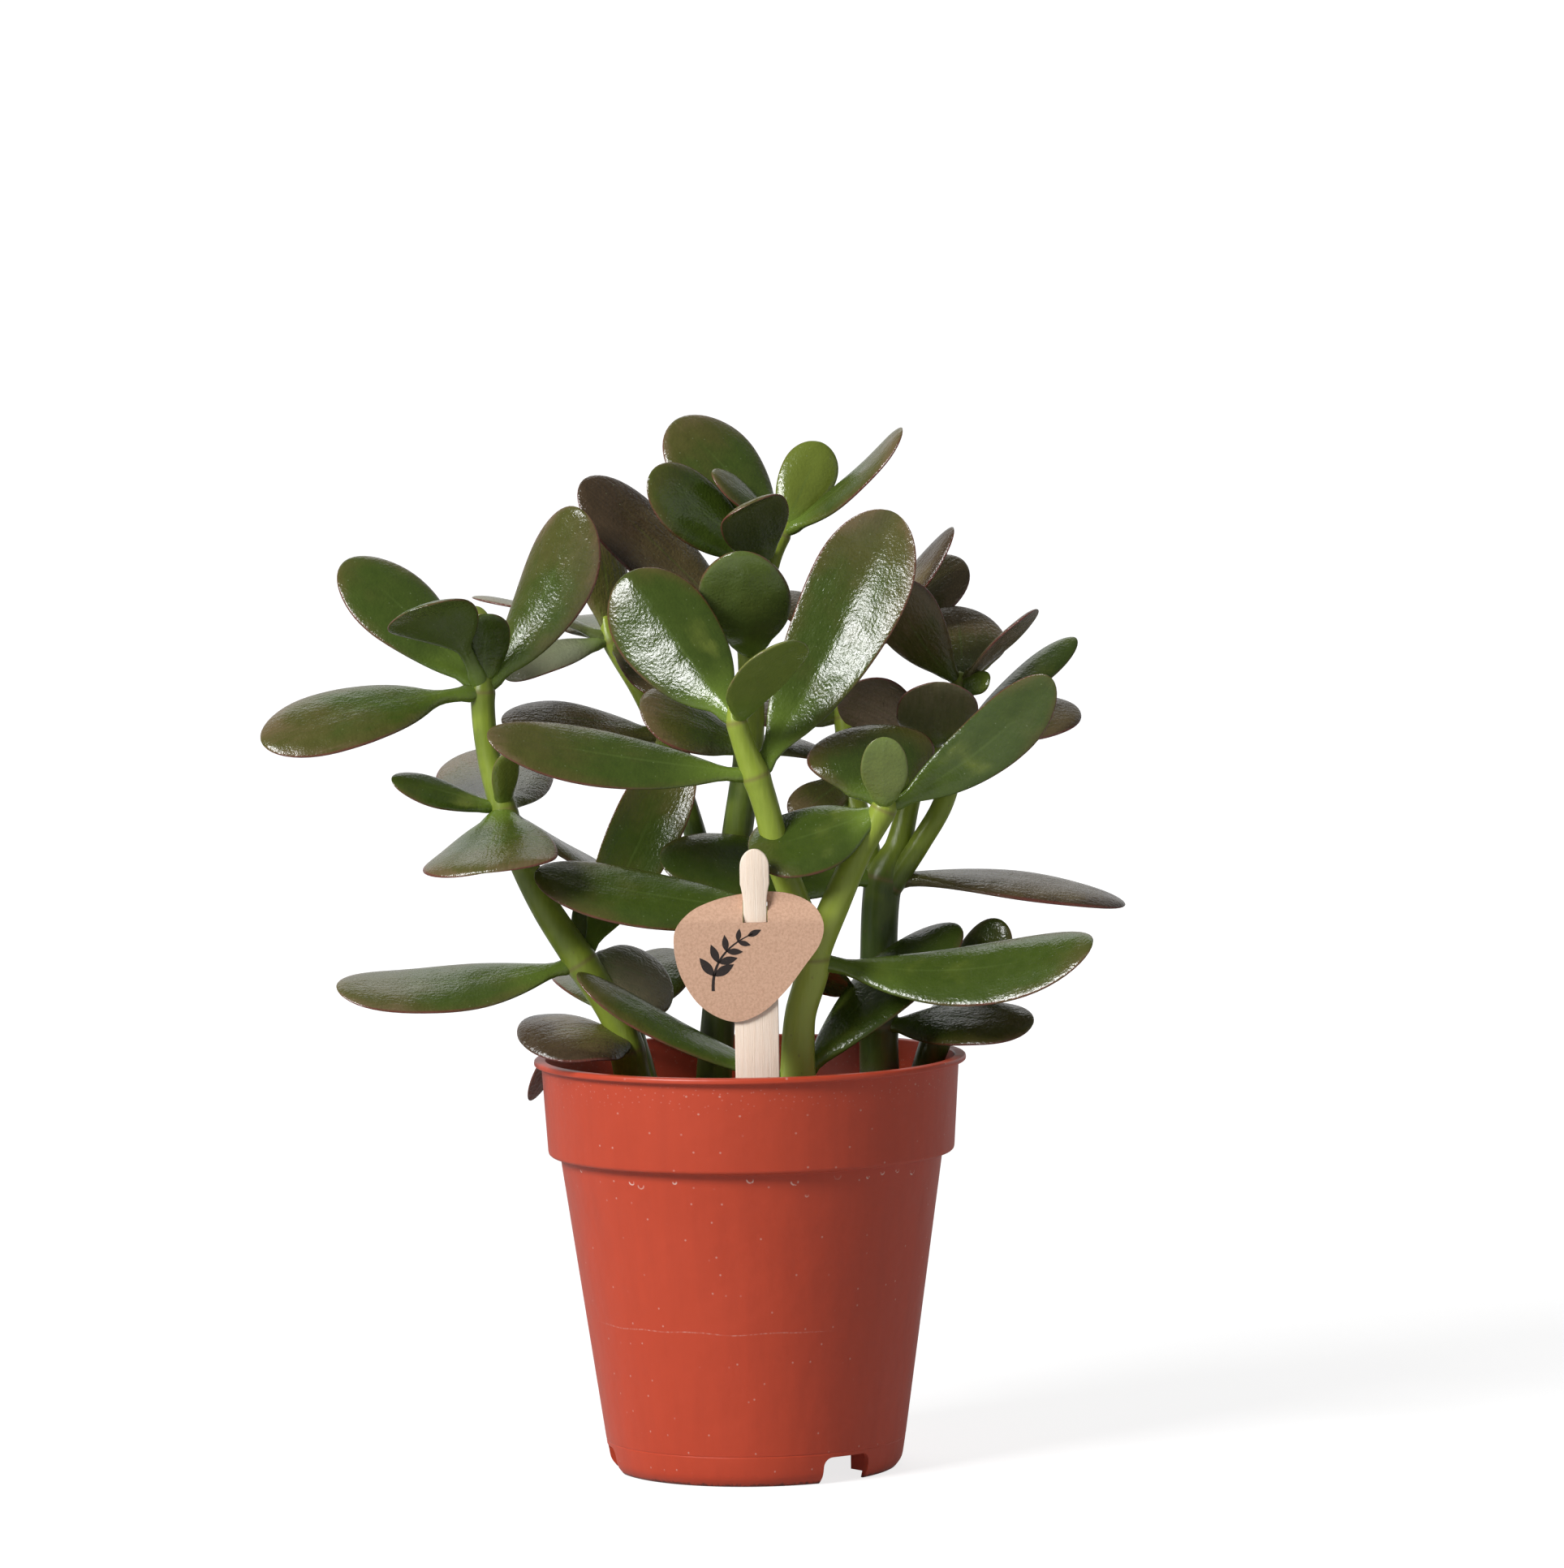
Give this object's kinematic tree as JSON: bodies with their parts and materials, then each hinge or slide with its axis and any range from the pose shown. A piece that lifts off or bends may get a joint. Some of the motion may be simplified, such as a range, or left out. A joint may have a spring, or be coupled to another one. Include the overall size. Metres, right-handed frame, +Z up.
{
  "type": "potted jade plant",
  "caption": "Jade plant with thick oval leaves on branching stems, standing in soil in a tapered round nursery pot, with a stick label.",
  "frame": {"origin": "under the middle of the plant's bounding box, on the surface that the pot stands on", "axes": "+Z up along the pot's axis, -Y towards the front, where the label faces, +X to the right seen from the front"},
  "size_m": [0.2364, 0.1308, 0.2922],
  "materials": {
    "pot_plastic": "satin terracotta-coloured moulded plastic",
    "potting_soil": "dark crumbly peat",
    "jade_leaf": "waxy dark green with a soft sheen",
    "label_wood": "bare pale wood",
    "label_card": "bare kraft card"
  },
  "bodies": {
    "root": {"pot": "pot_plastic", "soil": "potting_soil", "stem_left": "jade_leaf", "stem_front": "jade_leaf", "stem_middle": "jade_leaf", "stem_right": "jade_leaf", "stem_short": "jade_leaf", "stem_back": "jade_leaf", "label_stick": "label_wood", "label_tag": "label_card"}
  },
  "joints": []
}
